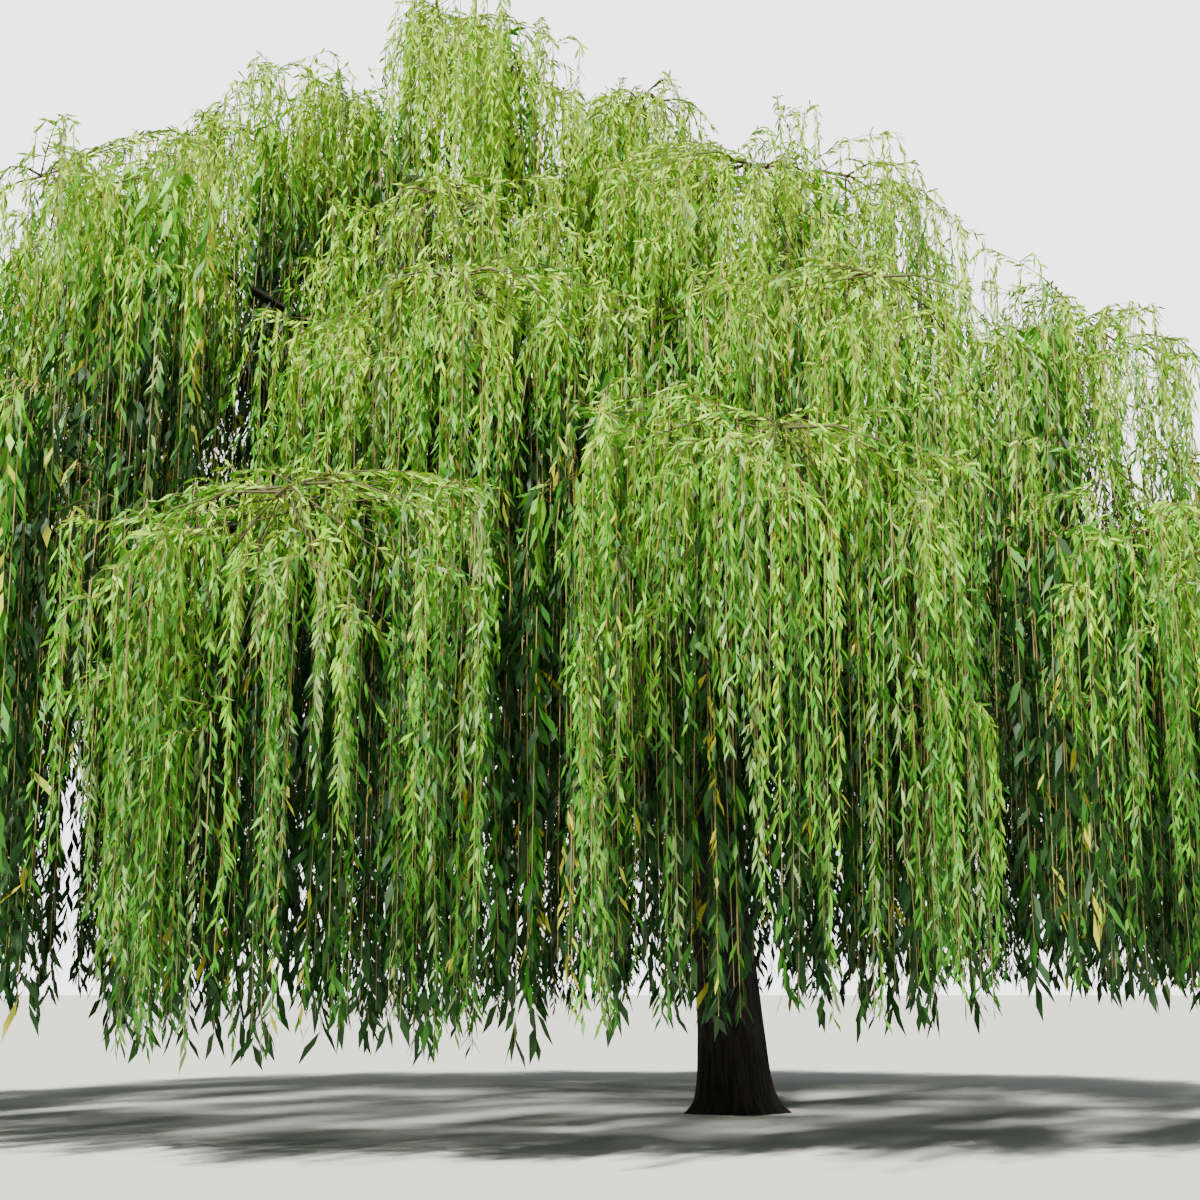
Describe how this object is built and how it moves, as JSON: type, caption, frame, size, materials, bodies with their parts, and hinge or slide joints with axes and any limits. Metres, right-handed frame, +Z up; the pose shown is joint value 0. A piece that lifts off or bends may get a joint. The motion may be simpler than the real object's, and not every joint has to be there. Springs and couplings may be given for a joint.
{
  "type": "weeping willow tree",
  "caption": "Broad weeping willow: a flared trunk forks low into leaders and arching boughs that carry hanging curtains of leaves round an open space.",
  "frame": {"origin": "in the flat cut under the trunk, at ground level, in the middle of the trunk's foot", "axes": "+Z up along the trunk, +X to the viewer's right along the crown's longest side, -Y towards the viewer"},
  "size_m": [22.7248, 18.8171, 15.4458],
  "materials": {
    "bark": "rough dark furrowed bark",
    "summit_leaves": "matt pale green leaves in full sun",
    "crown_leaves": "matt yellow-green leaves",
    "middle_leaves": "matt mid green leaves",
    "skirt_leaves": "matt mid green leaves, darker inside"
  },
  "bodies": {
    "root": {"crown_leader_1": "bark", "crown_leader_2": "bark", "crown_leader_3": "bark", "crown_leader_4": "bark", "crown_leader_5": "bark", "crown_leader_6": "bark", "crown_mass_1": "crown_leaves", "crown_mass_2": "crown_leaves", "crown_mass_3": "crown_leaves", "crown_mass_4": "crown_leaves", "crown_mass_5": "crown_leaves", "crown_mass_6": "crown_leaves", "middle_bough_1": "bark", "middle_bough_2": "bark", "middle_bough_3": "bark", "middle_bough_4": "bark", "middle_bough_5": "bark", "middle_bough_6": "bark", "middle_bough_7": "bark", "middle_bough_8": "bark", "middle_mass_1": "middle_leaves", "middle_mass_2": "middle_leaves", "middle_mass_3": "middle_leaves", "middle_mass_4": "middle_leaves", "middle_mass_5": "middle_leaves", "middle_mass_6": "middle_leaves", "middle_mass_7": "middle_leaves", "middle_mass_8": "middle_leaves", "skirt_bough_1": "bark", "skirt_bough_10": "bark", "skirt_bough_2": "bark", "skirt_bough_3": "bark", "skirt_bough_4": "bark", "skirt_bough_5": "bark", "skirt_bough_6": "bark", "skirt_bough_7": "bark", "skirt_bough_8": "bark", "skirt_bough_9": "bark", "skirt_mass_1": "skirt_leaves", "skirt_mass_10": "skirt_leaves", "skirt_mass_2": "skirt_leaves", "skirt_mass_3": "skirt_leaves", "skirt_mass_4": "skirt_leaves", "skirt_mass_5": "skirt_leaves", "skirt_mass_6": "skirt_leaves", "skirt_mass_7": "skirt_leaves", "skirt_mass_8": "skirt_leaves", "skirt_mass_9": "skirt_leaves", "summit_bough_2": "bark", "summit_bough_3": "bark", "summit_leader_1": "bark", "summit_mass_1": "summit_leaves", "summit_mass_2": "summit_leaves", "summit_mass_3": "summit_leaves", "trunk": "bark"}
  },
  "joints": []
}
